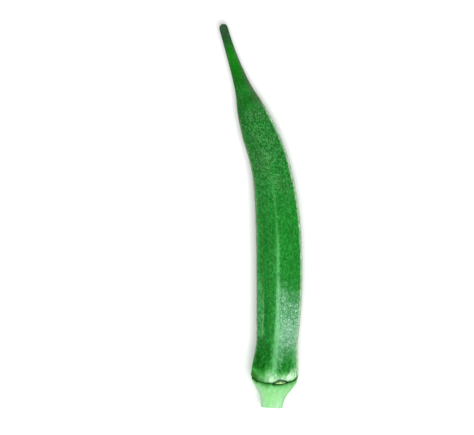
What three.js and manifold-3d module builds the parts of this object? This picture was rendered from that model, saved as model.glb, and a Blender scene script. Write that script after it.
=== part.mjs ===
// A fresh okra pod as picked, lying on one of its flat sides on a table.
//
// It is one grown piece. From the cut stem it flares through a pale conical cap to the
// scar ring, where the flower's calyx fell off, then runs on as a slender ridged pod that
// narrows into a bent beak. The ridges are the seams along which a ripe pod splits, and
// the rows of seeds inside lift the flat sides between them a little.
//
// Frame, in millimetres: +Y from the cut stem towards the beak, +Z up, and the origin
// under the middle of the pod, on the surface that it lies on.

import * as THREE from "three";
import Module from "manifold-3d";
import { mergeVertices } from "three/addons/utils/BufferGeometryUtils.js";

// ---- Driving dimensions, in millimetres and degrees ----

// The pod's axis: three Bezier spans from the cut stem to the beak's tip, each row
// [x, y, z]. Knots and handles alternate as knot, handle, handle, knot.
const axisPoints = [
  [3.95, 0, 7.7],
  [5.4, 15, 8.4],
  [6.8, 34, 6.77],
  [6.7, 52, 6.92],
  [6.59, 72, 7.09],
  [5.25, 88.1, 5.97],
  [1.15, 99.1, 5.6],
  [-7.3, 121.8, 4.8],
  [-11.5, 133, 5.3],
  [-14.5, 144.4, 6.6],
];

// Where the ridges stand round the axis: 0 is straight up and +90 is towards +X.
const ridgeAngles = [-145, -76, -5, 69, 145];

// The ridge nearest the top fades on the cap and towards the beak, where the sides on its
// left and right run together into one rounded face: [distance from the cut stem, strength].
const topRidge = {
  sideBefore: 1,
  sideAfter: 2,
  strength: [
    [0, 0.3],
    [9, 0.4],
    [12, 0.5],
    [15.5, 0.75],
    [20, 1],
    [66, 1],
    [80, 0.7],
    [92, 0.35],
    [104, 0.2],
    [148, 0.2],
  ],
};

// Girth along the axis: [distance from the cut stem, half width seen from above, ridged],
// where ridged is 0 for a round section and 1 for a fully ridged one.
const girth = [
  [0, 4.1, 0.1],
  [2.1, 4.42, 0.12],
  [3.7, 4.86, 0.16],
  [5.3, 5.58, 0.22],
  [6.9, 6.62, 0.28],
  [8.5, 7.55, 0.36],
  [10.1, 8.5, 0.45],
  [12, 8.98, 0.56],
  [14.8, 8.92, 0.74],
  [18.8, 8.38, 0.94],
  [22.7, 7.86, 1],
  [26.6, 7.74, 1],
  [34.4, 8.13, 1],
  [46, 8.45, 1],
  [58, 8.47, 1],
  [69, 8.32, 1],
  [80, 7.88, 1],
  [90, 7.27, 1],
  [98, 6.9, 0.95],
  [106, 6.5, 0.85],
  [111.5, 5.72, 0.75],
  [116, 4.9, 0.65],
  [120.5, 3.75, 0.55],
  [124, 3.05, 0.5],
  [131, 2.25, 0.4],
  [139, 1.73, 0.3],
  [147, 1.56, 0.2],
];

const scar = {
  along: 12, // distance of the scar ring from the cut stem
  grooveDepth: 0.5,
  grooveWidth: 0.26,
  lipHeight: 0.16, // the pod's rim, which stands a little over the cap
  lipAlong: 0.75,
  lipWidth: 0.5,
  reach: 7, // how far along the pod its bends fade out
  // the ring's path round the pod: [angle, how far it bends towards the beak]
  path: [
    [-180, -0.1],
    [-140, 0],
    [-105, -0.3],
    [-85, -0.4],
    [-76, -0.6],
    [-66, -1.1],
    [-58, -1.3],
    [-45, -1.45],
    [-32, -1.3],
    [-18, -1.1],
    [-4, -0.95],
    [8, -1.15],
    [18, -1.1],
    [30, -0.65],
    [42, -0.52],
    [52, -0.4],
    [60, 0],
    [65, 0.6],
    [70, 1.6],
    [78, 2.6],
    [95, 2.2],
    [120, 1],
    [150, 0.3],
    [180, -0.1],
  ],
};

const seeds = {
  first: 25, // from the first seed to the last, along the axis
  last: 106,
  pitch: 6.6,
  stagger: 0.37, // from one side's row to the next, as a share of the pitch
  fade: 14,
  spread: 1.9,
  offset: 0.34, // how far beside a side's middle they lie, as a share of its half width
};

// The sides, from the first ridge on: how far each bulges past a straight chord, by ridge
// radius, and how far its seeds lift it. The last is the one that the pod lies on, which is
// a little hollow between its two ridges.
const sides = [
  { crown: 0.035, seedHeight: 0.24 },
  { crown: 0.03, seedHeight: 0.24 },
  { crown: 0.03, seedHeight: 0.24 },
  { crown: 0.035, seedHeight: 0.24 },
  { crown: -0.008, seedHeight: 0.08 },
];

const ridgeBead = { height: 0.3, width: 0.6 };
const unevenness = { height: 0.07, length: 33 }; // slow swellings along each side
const midLine = { depth: 0.1, width: 0.55 }; // the faint furrow along each side's middle
const roundShare = 0.955; // a round section's radius, by the radius of its ridges

// The stem's cut end: how far the knife's cut leans, how much stem it leaves beyond the
// axis, and how far in the lean reaches.
const stemCut = { bevel: 0.2, topLean: 20.5, sideLean: 1.5, left: 1, reach: 5 };

const tipRounding = { length: 1.7, power: 2.4 };
const restDepth = 0.25; // how much of the two lowest ridges the table flattens

// ---- Mesh spacing ----

const sharesOfSide = [0, 0.045, 0.11, 0.22, 0.36, 0.5, 0.64, 0.78, 0.89, 0.955];
const scarSteps = [-1.7, -1.1, -0.65, -0.4, -0.2, 0, 0.2, 0.4, 0.65, 1.1, 1.7];
const capStep = 1.15;
const bodyStep = 1.75;
const beakStep = 2.6;
const beakFrom = 120;
const tipShares = [0.4, 0.65, 0.83, 0.95];

const radians = THREE.MathUtils.degToRad;

// A smooth curve through one column of a table whose first column is the distance.
function throughTable(table, along, column) {
  let i = 0;
  while (i < table.length - 2 && along > table[i + 1][0]) {
    i += 1;
  }
  const [before, from, to, after] = [-1, 0, 1, 2].map(
    (k) => table[Math.min(Math.max(i + k, 0), table.length - 1)],
  );
  const span = to[0] - from[0];
  const share = Math.min(Math.max((along - from[0]) / span, 0), 1);
  const slopeFrom = ((to[column] - before[column]) / (to[0] - before[0])) * span;
  const slopeTo = ((after[column] - from[column]) / (after[0] - from[0])) * span;
  const s2 = share * share;
  const s3 = s2 * share;
  return (
    (2 * s3 - 3 * s2 + 1) * from[column] +
    (s3 - 2 * s2 + share) * slopeFrom +
    (3 * s2 - 2 * s3) * to[column] +
    (s3 - s2) * slopeTo
  );
}

const smoothStep = (low, high, x) => THREE.MathUtils.smoothstep(x, low, high);
const hump = (x, width) => Math.exp(-((x / width) ** 2));

// ---- The axis ----

const axis = new THREE.CurvePath();
for (let k = 0; k + 3 < axisPoints.length; k += 3) {
  const span = axisPoints.slice(k, k + 4).map((p) => new THREE.Vector3(...p));
  const curve = new THREE.CubicBezierCurve3(...span);
  curve.arcLengthDivisions = 400;
  axis.add(curve);
}
const podLength = axis.getLength();

// The point of the axis at a distance from the cut stem, with its forward, sideways and
// upward directions. Upward stays as near to +Z as the axis lets it, so nothing twists.
function axisFrame(along) {
  const share = Math.min(Math.max(along / podLength, 0), 1);
  const forward = axis.getTangentAt(share);
  const side = new THREE.Vector3().crossVectors(forward, new THREE.Vector3(0, 0, 1)).normalize();
  const up = new THREE.Vector3().crossVectors(side, forward);
  return { centre: axis.getPointAt(share), forward, side, up };
}

// ---- The section ----

// Every direction in which the section has a vertex, with the number of its side and its
// place on that side: -1 and 1 are the ridges at its edges and 0 is its middle.
const directions = ridgeAngles.flatMap((from, number) => {
  const to = ridgeAngles[number + 1] ?? ridgeAngles[0] + 360;
  return sharesOfSide.map((share) => ({
    angle: radians(from + (to - from) * share),
    halfSide: radians((to - from) / 2),
    number,
    place: 2 * share - 1,
  }));
});

// How far the seeds lift the skin. They lie to one side of a side's middle and then the
// other, and each side's row starts at a place of its own.
function seedLift({ halfSide, number, place }, along, radius) {
  const phase = number * seeds.stagger * seeds.pitch;
  const count = Math.round((along - seeds.first - phase) / seeds.pitch);
  const away = along - seeds.first - phase - count * seeds.pitch;
  const across = (place - (count % 2 ? -1 : 1) * seeds.offset) * halfSide * radius;
  const row =
    smoothStep(seeds.first - seeds.fade, seeds.first, along) *
    (1 - smoothStep(seeds.last, seeds.last + seeds.fade, along));
  return sides[number].seedHeight * row * hump(Math.hypot(away, across), seeds.spread);
}

// How much of the section's ridged form is left where the ridge nearest the top fades.
function topRidgeShare({ number, place }, along) {
  let closeness = 0;
  if (number === topRidge.sideBefore) {
    closeness = (1 + place) / 2;
  }
  if (number === topRidge.sideAfter) {
    closeness = (1 - place) / 2;
  }
  const lost = 1 - throughTable(topRidge.strength, along, 1);
  return 1 - lost * smoothStep(0, 1, closeness);
}

// The skin's distance from the axis in one direction.
function skinRadius(direction, along) {
  const { halfSide, number, place } = direction;
  const ridged = throughTable(girth, along, 2);
  const ridgedHere = ridged * topRidgeShare(direction, along);
  const ridgeRadius = throughTable(girth, along, 1) / roundShare - ridged * ridgeBead.height;
  const chord = Math.cos(halfSide) / Math.cos(place * halfSide);
  const crowned = chord + sides[number].crown * (1 - place * place);
  const toRidge = (1 - Math.abs(place)) * halfSide * ridgeRadius;
  const toMiddle = place * halfSide * ridgeRadius;
  const swell = unevenness.height * Math.sin((along / unevenness.length + number / 3) * 2 * Math.PI);
  return (
    ridgeRadius * (ridgedHere * crowned + (1 - ridgedHere) * roundShare) +
    ridgedHere * ridgeBead.height * hump(toRidge, ridgeBead.width) -
    ridged * midLine.depth * hump(toMiddle, midLine.width) +
    ridged * (swell * (1 - place * place) + seedLift(direction, along, ridgeRadius))
  );
}

// How far the scar ring lies from a plain ring.
function scarShift({ angle }, along) {
  const halfTurn = 180;
  const degrees = THREE.MathUtils.radToDeg(angle) + halfTurn;
  const turn = THREE.MathUtils.euclideanModulo(degrees, 2 * halfTurn) - halfTurn;
  return throughTable(scar.path, turn, 1) * hump(along - scar.along, scar.reach);
}

// How far the slanted cut moves a point of the stem along the axis.
function cutShift({ angle }, along, radius) {
  const top = Math.tan(radians(stemCut.topLean)) * Math.cos(angle);
  const sideways = Math.tan(radians(stemCut.sideLean)) * Math.sin(angle);
  const lean = (top + sideways) * radius - stemCut.left;
  return lean * (1 - smoothStep(0, stemCut.reach, along));
}

function skinPoint(direction, station) {
  const along = station.along + scarShift(direction, station.along);
  const fromScar = station.along - scar.along;
  const groove = scar.grooveDepth * hump(fromScar, scar.grooveWidth);
  const lip = scar.lipHeight * hump(fromScar - scar.lipAlong, scar.lipWidth);
  const radius = (skinRadius(direction, along) - groove + lip) * station.shrink;
  const { centre, forward, side, up } = axisFrame(along);
  return centre
    .addScaledVector(forward, cutShift(direction, along, radius))
    .addScaledVector(side, Math.sin(direction.angle) * radius)
    .addScaledVector(up, Math.cos(direction.angle) * radius);
}

// ---- Stations along the axis ----

function stationsAlong() {
  const found = [
    { along: 0, shrink: 1 - stemCut.bevel / girth[0][1] },
    { along: stemCut.bevel, shrink: 1 },
  ];
  const evenly = (from, to, step) => {
    const steps = Math.round((to - from) / step);
    for (let k = 1; k < steps; k += 1) {
      found.push({ along: from + ((to - from) * k) / steps, shrink: 1 });
    }
  };
  const scarFrom = scar.along + scarSteps[0];
  const scarTo = scar.along + scarSteps[scarSteps.length - 1];
  const tipFrom = podLength - tipRounding.length;
  evenly(stemCut.bevel, scarFrom, capStep);
  for (const step of scarSteps) {
    found.push({ along: scar.along + step, shrink: 1 });
  }
  evenly(scarTo, beakFrom, bodyStep);
  found.push({ along: beakFrom, shrink: 1 });
  evenly(beakFrom, tipFrom, beakStep);
  found.push({ along: tipFrom, shrink: 1 });
  for (const share of tipShares) {
    const shrink = (1 - share ** tipRounding.power) ** (1 / tipRounding.power);
    found.push({ along: tipFrom + tipRounding.length * share, shrink });
  }
  return found;
}

// ---- The skin as one closed mesh, from the middle of the cut stem to the tip ----

function podSkin() {
  const stations = stationsAlong();
  const around = directions.length;
  const start = axisFrame(0);
  const points = [start.centre.addScaledVector(start.forward, -stemCut.left)];
  for (const station of stations) {
    for (const direction of directions) {
      points.push(skinPoint(direction, station));
    }
  }
  points.push(axis.getPointAt(1));

  const faces = [];
  const vertex = (ring, k) => 1 + ring * around + (k % around);
  const last = stations.length - 1;
  const tip = points.length - 1;
  for (let k = 0; k < around; k += 1) {
    faces.push(0, vertex(0, k + 1), vertex(0, k));
    for (let ring = 0; ring < last; ring += 1) {
      const [a, b] = [vertex(ring, k), vertex(ring, k + 1)];
      const [c, d] = [vertex(ring + 1, k), vertex(ring + 1, k + 1)];
      faces.push(a, b, c, b, d, c);
    }
    faces.push(vertex(last, k), vertex(last, k + 1), tip);
  }
  const geometry = new THREE.BufferGeometry().setFromPoints(points);
  geometry.setIndex(faces);
  return geometry;
}

// ---- The flat spots that it rests on ----

const wasm = await Module();
wasm.setup();

function solidOf(geometry) {
  const plain = geometry.clone();
  plain.deleteAttribute("normal");
  plain.deleteAttribute("uv");
  const merged = mergeVertices(plain, 1e-4);
  return new wasm.Manifold(
    new wasm.Mesh({
      numProp: 3,
      vertProperties: merged.attributes.position.array,
      triVerts: new Uint32Array(merged.index.array),
    }),
  );
}

function geometryOf(solid) {
  const mesh = solid.getMesh();
  const geometry = new THREE.BufferGeometry();
  geometry.setAttribute("position", new THREE.BufferAttribute(mesh.vertProperties, 3));
  geometry.setIndex(new THREE.BufferAttribute(mesh.triVerts, 1));
  return geometry;
}

function flattenedUnderneath(geometry) {
  geometry.computeBoundingBox();
  const { min, max } = geometry.boundingBox;
  const size = 2 * podLength;
  const table = new THREE.BoxGeometry(size, size, size);
  table.translate((min.x + max.x) / 2, (min.y + max.y) / 2, min.z + restDepth - size / 2);
  return geometryOf(solidOf(geometry).subtract(solidOf(table)));
}

// ---- The pod ----

const podGeometry = flattenedUnderneath(podSkin());
podGeometry.computeBoundingBox();
const bounds = podGeometry.boundingBox;
podGeometry.translate(
  -(bounds.min.x + bounds.max.x) / 2,
  -(bounds.min.y + bounds.max.y) / 2,
  -bounds.min.z,
);
podGeometry.computeVertexNormals();

const podSkinMaterial = new THREE.MeshStandardMaterial({
  color: 0x2f8b3a,
  roughness: 0.6,
  metalness: 0,
});

const okraPod = new THREE.Mesh(podGeometry, podSkinMaterial);
okraPod.name = "okra_pod";

const group = new THREE.Group();
group.add(okraPod);

export default group;
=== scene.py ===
import math

import bmesh
import bpy
import numpy as np
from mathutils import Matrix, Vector, noise


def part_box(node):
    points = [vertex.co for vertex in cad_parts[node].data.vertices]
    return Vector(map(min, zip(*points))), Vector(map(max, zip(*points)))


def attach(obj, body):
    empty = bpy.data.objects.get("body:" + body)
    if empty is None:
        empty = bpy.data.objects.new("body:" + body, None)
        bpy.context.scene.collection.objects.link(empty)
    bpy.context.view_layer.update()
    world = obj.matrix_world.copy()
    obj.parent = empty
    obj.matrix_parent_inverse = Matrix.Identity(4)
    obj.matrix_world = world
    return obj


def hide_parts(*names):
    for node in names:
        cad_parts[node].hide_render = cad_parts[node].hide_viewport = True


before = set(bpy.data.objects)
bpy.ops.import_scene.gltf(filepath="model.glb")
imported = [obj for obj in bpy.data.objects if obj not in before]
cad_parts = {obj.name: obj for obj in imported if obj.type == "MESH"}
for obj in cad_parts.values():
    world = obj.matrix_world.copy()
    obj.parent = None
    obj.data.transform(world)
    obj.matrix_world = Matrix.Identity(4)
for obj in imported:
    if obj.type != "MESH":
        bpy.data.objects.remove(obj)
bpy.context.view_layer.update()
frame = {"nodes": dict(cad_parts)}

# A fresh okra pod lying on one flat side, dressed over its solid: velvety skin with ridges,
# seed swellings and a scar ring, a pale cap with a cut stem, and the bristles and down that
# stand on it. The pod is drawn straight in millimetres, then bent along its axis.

millimetre = 0.001
print("frame loaded:", ", ".join(frame["nodes"]))


# small helpers

def clearSelection():
    bpy.ops.object.select_all(action="DESELECT")


def paint(red, green, blue):
    # a display colour from 0 to 255 as the linear colour that sockets take
    linear = []
    for value in (red, green, blue):
        share = value / 255
        linear.append(share / 12.92 if share <= 0.04045 else ((share + 0.055) / 1.055) ** 2.4)
    return (*linear, 1)


def smoothStep(low, high, x):
    share = np.clip((x - low) / (high - low), 0, 1)
    return share * share * (3 - 2 * share)


def hump(x, width):
    return np.exp(-((x / width) ** 2))


def throughTable(table, along, column):
    # a smooth curve through one column of a table whose first column is the distance
    rows = np.array(table, float)
    places = rows[:, 0]
    values = rows[:, column]
    last = len(rows) - 1
    start = np.clip(np.searchsorted(places, along, side="left") - 1, 0, last - 1)
    end = start + 1
    before = np.maximum(start - 1, 0)
    after = np.minimum(end + 1, last)
    span = places[end] - places[start]
    share = np.clip((along - places[start]) / span, 0, 1)
    slopeStart = (values[end] - values[before]) / (places[end] - places[before]) * span
    slopeEnd = (values[after] - values[start]) / (places[after] - places[start]) * span
    squared = share ** 2
    cubed = share ** 3
    return (
        (2 * cubed - 3 * squared + 1) * values[start]
        + (cubed - 2 * squared + share) * slopeStart
        + (3 * squared - 2 * cubed) * values[end]
        + (cubed - squared) * slopeEnd
    )


def roughness3d(points, size, seed):
    # soft noise from -1 to 1 with features of the given size; each seed reads another part of it
    shift = Vector([seed * step for step in (17.3, 5.1, 9.7)])
    scaled = points / size
    return np.array([noise.noise(Vector(point) + shift) for point in scaled])


def readPoints(mesh):
    flat = np.empty(len(mesh.vertices) * 3)
    mesh.vertices.foreach_get("co", flat)
    return flat.reshape(-1, 3)


def writePoints(mesh, points):
    mesh.vertices.foreach_set("co", points.ravel())
    mesh.update()


def addPointValue(mesh, name, values):
    layer = mesh.attributes.new(name, "FLOAT", "POINT")
    layer.data.foreach_set("value", np.asarray(values, dtype=np.float32))


# the pod's form, the same as its solid's, in millimetres and degrees
pod = {
    # knots and handles of the axis: knot, handle, handle, knot, from the cut stem to the tip
    "axis": [
        (3.95, 0, 7.7), (5.4, 15, 8.4), (6.8, 34, 6.77), (6.7, 52, 6.92), (6.59, 72, 7.09),
        (5.25, 88.1, 5.97), (1.15, 99.1, 5.6), (-7.3, 121.8, 4.8), (-11.5, 133, 5.3),
        (-14.5, 144.4, 6.6),
    ],
    "ridgeAngles": [-145, -76, -5, 69, 145],  # 0 is straight up, +90 is towards +X
    # how strong the ridge nearest the top is, between sides 1 and 2
    "topRidge": [
        (0, 0.3), (9, 0.4), (12, 0.5), (15.5, 0.75), (20, 1), (66, 1), (80, 0.7), (92, 0.35),
        (104, 0.2), (148, 0.2),
    ],
    # distance from the cut stem, half width, how ridged
    "girth": [
        (0, 4.1, 0.1), (2.1, 4.42, 0.12), (3.7, 4.86, 0.16), (5.3, 5.58, 0.22), (6.9, 6.62, 0.28),
        (8.5, 7.55, 0.36), (10.1, 8.5, 0.45), (12, 8.98, 0.56), (14.8, 8.92, 0.74),
        (18.8, 8.38, 0.94), (22.7, 7.86, 1), (26.6, 7.74, 1), (34.4, 8.13, 1), (46, 8.45, 1),
        (58, 8.47, 1), (69, 8.32, 1), (80, 7.88, 1), (90, 7.27, 1), (98, 6.9, 0.95),
        (106, 6.5, 0.85), (111.5, 5.72, 0.75), (116, 4.9, 0.65), (120.5, 3.75, 0.55),
        (124, 3.05, 0.5), (131, 2.25, 0.4), (139, 1.73, 0.3), (147, 1.56, 0.2),
    ],
    "crowns": [0.035, 0.03, 0.03, 0.035, -0.008],  # how far each side bulges, by radius
    "seedHeights": [0.24, 0.24, 0.24, 0.24, 0.08],
    "seedFirst": 25,
    "seedLast": 106,
    "seedPitch": 6.6,
    "seedStagger": 0.37,
    "seedFade": 14,
    "seedSpread": 1.9,
    "seedOffset": 0.34,
    "beadHeight": 0.3,  # the bead along each ridge
    "beadWidth": 0.6,
    "swellHeight": 0.07,
    "swellLength": 33,
    "swellSides": 3,  # over how many sides the swell comes round again
    "furrowDepth": 0.1,  # the furrow down the middle of each side
    "furrowWidth": 0.55,
    "roundShare": 0.955,  # a round section's radius, as a share of the ridges' radius
    "scarAlong": 12,
    "scarDepth": 0.5,
    "scarUneven": 0.25,
    "scarWaves": 3,
    "scarWaveStart": 1,
    "scarWidth": 0.26,
    "lipHeight": 0.16,
    "lipAlong": 0.75,
    "lipWidth": 0.5,
    "scarReach": 7,
    "cutBevel": 0.2,
    "cutTopLean": 20.5,
    "cutSideLean": 1.5,
    "cutLeft": 1,  # how much stem is left beyond the axis
    "cutReach": 5,
    "tipRounding": 1.7,
    "tipPower": 2.4,
}

# what the finer skin adds to the solid's form, in millimetres and degrees
skinDetail = {
    "axisSteps": 64,
    "smoothAngle": 50,
    "around": 50,  # vertices round the first ring, ten to a side
    "finer": 2,  # cuts between them, and between the rings
    "tubeRadius": 4,
    "capStep": 1.1,  # between the first rings of the cap, the scar and the body
    "scarStep": 0.3,
    "bodyStep": 1.6,
    "scarBefore": 1.8,
    "scarAfter": 2.7,
    "tipShares": (0.4, 0.65, 0.83, 0.95),  # where the rings of the rounded tip lie
    "cutInsets": (0.35, 0.45, 0.6, 0.8, 0.8),
    "tipInsets": (1.6,),
    "tipFlat": 0.2,
    "reliefFrom": (14, 20),  # the veins and ridges' relief sets in over this stretch
    "reliefFade": 12,
    "seeds": {"veins": 1, "ridges": 2, "scar": 3, "cap": 4},
    "veinHeight": 0.035,
    "veinSize": (1.1, 28, 1.1),
    "ridgeRoughHeight": 0.09,
    "ridgeRoughSize": 1.3,
    "ridgeRoughWidth": 0.5,
    "creaseDepth": 0.07,
    "creaseAway": 1.35,
    "creaseWidth": 0.45,
    "scarWander": 0.12,
    "scarWanderSize": 2.6,
    "scarWanderRadius": 8,
    # the scar ring round the pod: angle, how far it bends to the beak, width of its dark line,
    # partly crack and partly painted shade in its groove
    "scarPath": [
        (-180, -0.1, 0.3), (-140, 0, 0.35), (-105, -0.3, 0.45), (-85, -0.4, 0.8),
        (-76, -0.6, 0.9), (-66, -1.1, 0.8), (-58, -1.3, 0.6), (-45, -1.45, 0.42),
        (-32, -1.3, 0.26), (-18, -1.1, 0.14), (-4, -0.95, 0.18), (8, -1.15, 0.36),
        (18, -1.1, 0.38), (30, -0.65, 0.34), (42, -0.52, 0.46), (52, -0.4, 0.55), (60, 0, 0.6),
        (65, 0.6, 0.7), (70, 1.6, 0.8), (78, 2.6, 0.7), (95, 2.2, 0.36), (120, 1, 0.32),
        (150, 0.3, 0.3), (180, -0.1, 0.3),
    ],
    # the small lifted flap beside the scar: its angles, and its height above the scar ring
    "flapFrom": -8,
    "flapPeak": 13,
    "flapTo": 38,
    "flapPower": 1.6,
    "flapHeight": 1.6,
    "flapBulge": 0.14,
    "flapEdge": (0.1, 0.5),
    "flapGrooveDepth": 0.4,
    "flapGrooveRise": 3,
    "flapGrooveWidth": 0.26,
    "capStreakHeight": 0.05,
    "capStreakSize": (0.9, 14, 0.9),
    "capStreakEnd": (10.5, 11.8),
    "pithDip": 0.22,
    "pithEdge": (1.0, 0.75),
}

# where the ten vertices of a side lie between its two ridges
sharesOfSide = [0, 0.045, 0.11, 0.22, 0.36, 0.5, 0.64, 0.78, 0.89, 0.955]


def axisCurve():
    clearSelection()
    bpy.ops.curve.primitive_bezier_curve_add()
    guide = bpy.context.object
    guide.name = "pod_axis"
    guide.data.twist_mode = "Z_UP"
    guide.data.resolution_u = skinDetail["axisSteps"]
    spline = guide.data.splines[0]
    spans = (len(pod["axis"]) - 1) // 3
    spline.bezier_points.add(spans - 1)
    for number, point in enumerate(spline.bezier_points):
        knot = Vector(pod["axis"][3 * number])
        point.handle_left_type = "FREE"
        point.handle_right_type = "FREE"
        point.co = knot
        following = Vector(pod["axis"][3 * number + 1]) if number < spans else None
        earlier = Vector(pod["axis"][3 * number - 1]) if number else None
        point.handle_right = following if following else 2 * knot - earlier
        point.handle_left = earlier if earlier else 2 * knot - following
        point.tilt = math.radians(90)
    return guide, spline.calc_length()


def ringStations(length):
    # distances from the cut stem at which the first tube has a ring
    found = [0, pod["cutBevel"]]

    def evenly(start, end, step):
        steps = round((end - start) / step)
        for k in range(1, steps + 1):
            found.append(start + (end - start) * k / steps)

    scarFrom = pod["scarAlong"] - skinDetail["scarBefore"]
    scarTo = pod["scarAlong"] + skinDetail["scarAfter"]
    tipFrom = length - pod["tipRounding"]
    evenly(pod["cutBevel"], scarFrom, skinDetail["capStep"])
    evenly(scarFrom, scarTo, skinDetail["scarStep"])
    evenly(scarTo, tipFrom, skinDetail["bodyStep"])
    for share in skinDetail["tipShares"]:
        found.append(tipFrom + pod["tipRounding"] * share)
    return found


def selectEndEdges(work, height):
    # the open edges round one end of the tube
    for edge in work.edges:
        edge.select_set(
            edge.is_boundary and all(abs(vertex.co.y - height) < 1e-4 for vertex in edge.verts)
        )
    work.select_flush_mode()


def straightTube(stations):
    clearSelection()
    bpy.ops.mesh.primitive_circle_add(
        vertices=skinDetail["around"], radius=skinDetail["tubeRadius"], fill_type="NOTHING",
        location=(0, stations[0], 0), rotation=(math.radians(90), 0, 0),
    )
    tube = bpy.context.object
    tube.name = "okra_pod_skin"
    bpy.ops.object.transform_apply(location=True, rotation=True, scale=True)
    bpy.ops.object.mode_set(mode="EDIT")
    bpy.ops.mesh.select_all(action="SELECT")
    for here, following in zip(stations, stations[1:]):
        bpy.ops.mesh.extrude_region_move(
            TRANSFORM_OT_translate={"value": (0, following - here, 0)}
        )
    bpy.ops.mesh.select_all(action="SELECT")
    bpy.ops.mesh.subdivide(number_cuts=skinDetail["finer"])
    bpy.ops.mesh.select_mode(type="EDGE")
    ends = ((stations[0], skinDetail["cutInsets"]), (stations[-1], skinDetail["tipInsets"]))
    for height, insets in ends:
        bpy.ops.mesh.select_all(action="DESELECT")
        selectEndEdges(bmesh.from_edit_mesh(tube.data), height)
        bmesh.update_edit_mesh(tube.data)
        bpy.ops.mesh.edge_face_add()
        for step in insets:
            bpy.ops.mesh.inset(thickness=step)
        bpy.ops.mesh.poke()
    bpy.ops.mesh.select_mode(type="VERT")
    bpy.ops.mesh.select_all(action="SELECT")
    bpy.ops.mesh.normals_make_consistent(inside=False)
    bpy.ops.object.mode_set(mode="OBJECT")
    return tube


def tubeNumbers(mesh, stations):
    # every vertex's ring along the straight tube, how far out it is, and its slot round it
    points = readPoints(mesh)
    cuts = skinDetail["finer"] + 1
    count = len(stations)
    rings = np.interp(np.arange(cuts * (count - 1) + 1) / cuts, range(count), stations)
    ring = np.searchsorted((rings[1:] + rings[:-1]) / 2, points[:, 1])
    fill = np.round(np.hypot(points[:, 0], points[:, 2]) / skinDetail["tubeRadius"], 2)
    turn = np.arctan2(points[:, 0], points[:, 2]) / (2 * math.pi)
    slots = skinDetail["around"] * cuts
    slot = np.where(fill > 0, np.round(turn * slots) % slots, 0) / cuts
    return rings[ring], fill, slot


def putInOrder(tube, stations):
    # cutting leaves vertices, faces and corners in a chance order, so they are sorted by place
    station, fill, slot = tubeNumbers(tube.data, stations)
    order = np.lexsort((slot, fill, station))
    rank = np.empty(len(order), dtype=int)
    rank[order] = np.arange(len(order))
    points = readPoints(tube.data)[order]
    faces = []
    for face in tube.data.polygons:
        corners = rank[list(face.vertices)].tolist()
        first = corners.index(min(corners))
        faces.append(corners[first:] + corners[:first])
    tube.data.clear_geometry()
    tube.data.from_pydata(points.tolist(), [], sorted(faces))


def sectionOf(slot):
    # for every vertex of the straight tube: its side, its place on it and its true angle
    perSide = len(sharesOfSide)
    side = (slot // perSide).astype(int)
    within = slot - side * perSide
    share = np.interp(within, range(perSide + 1), sharesOfSide + [1])
    starts = np.array(pod["ridgeAngles"], float)
    ends = np.append(starts[1:], starts[0] + 360)
    angle = np.radians(starts[side] + (ends[side] - starts[side]) * share)
    half = np.radians((ends[side] - starts[side]) / 2)
    return side, share, angle, half


def seedLift(side, place, half, along, radius):
    phase = side * pod["seedStagger"] * pod["seedPitch"]
    count = np.round((along - pod["seedFirst"] - phase) / pod["seedPitch"])
    away = along - pod["seedFirst"] - phase - count * pod["seedPitch"]
    across = (place - np.where(count % 2, -1, 1) * pod["seedOffset"]) * half * radius
    row = smoothStep(pod["seedFirst"] - pod["seedFade"], pod["seedFirst"], along)
    row = row * (1 - smoothStep(pod["seedLast"], pod["seedLast"] + pod["seedFade"], along))
    heights = np.array(pod["seedHeights"])[side]
    return heights * row * hump(np.hypot(away, across), pod["seedSpread"])


def topRidgeShare(side, place, along):
    # how much of the ridged form is left where the ridge nearest the top fades
    closeness = np.where(side == 1, (1 + place) / 2, np.where(side == 2, (1 - place) / 2, 0))
    return 1 - (1 - throughTable(pod["topRidge"], along, 1)) * smoothStep(0, 1, closeness)


def skinRadius(side, share, half, along):
    place = 2 * share - 1
    ridged = throughTable(pod["girth"], along, 2)
    ridgedHere = ridged * topRidgeShare(side, place, along)
    fullRadius = throughTable(pod["girth"], along, 1) / pod["roundShare"]
    ridgeRadius = fullRadius - ridged * pod["beadHeight"]
    crowns = np.array(pod["crowns"])[side]
    crowned = np.cos(half) / np.cos(place * half) + crowns * (1 - place ** 2)
    toRidge = (1 - np.abs(place)) * half * ridgeRadius
    toMiddle = place * half * ridgeRadius
    swellPlace = along / pod["swellLength"] + side / pod["swellSides"]
    swell = pod["swellHeight"] * np.sin(swellPlace * 2 * math.pi)
    lift = seedLift(side, place, half, along, ridgeRadius)
    radius = (
        ridgeRadius * (ridgedHere * crowned + (1 - ridgedHere) * pod["roundShare"])
        + ridgedHere * pod["beadHeight"] * hump(toRidge, pod["beadWidth"])
        - ridged * pod["furrowDepth"] * hump(toMiddle, pod["furrowWidth"])
        + ridged * (swell * (1 - place ** 2) + lift)
    )
    return radius, toRidge, ridgedHere


def flapShare(turn):
    # 0 at the ends of the lifted flap beside the scar and 1 at its peak
    peak = skinDetail["flapPeak"]
    reach = np.where(turn < peak, peak - skinDetail["flapFrom"], skinDetail["flapTo"] - peak)
    return np.clip(1 - (np.abs(turn - peak) / reach) ** skinDetail["flapPower"], 0, 1)


def outFromAxis(angle, radius, along):
    return np.stack([np.sin(angle) * radius, along, np.cos(angle) * radius], axis=1)


def scarBend(angle, turn, fromScar):
    # the scar ring follows its own path round the pod and wanders a little
    ringPlace = outFromAxis(angle, skinDetail["scarWanderRadius"], np.zeros_like(angle))
    size, seed = skinDetail["scarWanderSize"], skinDetail["seeds"]["scar"]
    wander = skinDetail["scarWander"] * roughness3d(ringPlace, size, seed)
    bend = throughTable(skinDetail["scarPath"], turn, 1)
    return (bend + wander) * hump(fromScar, pod["scarReach"])


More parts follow.
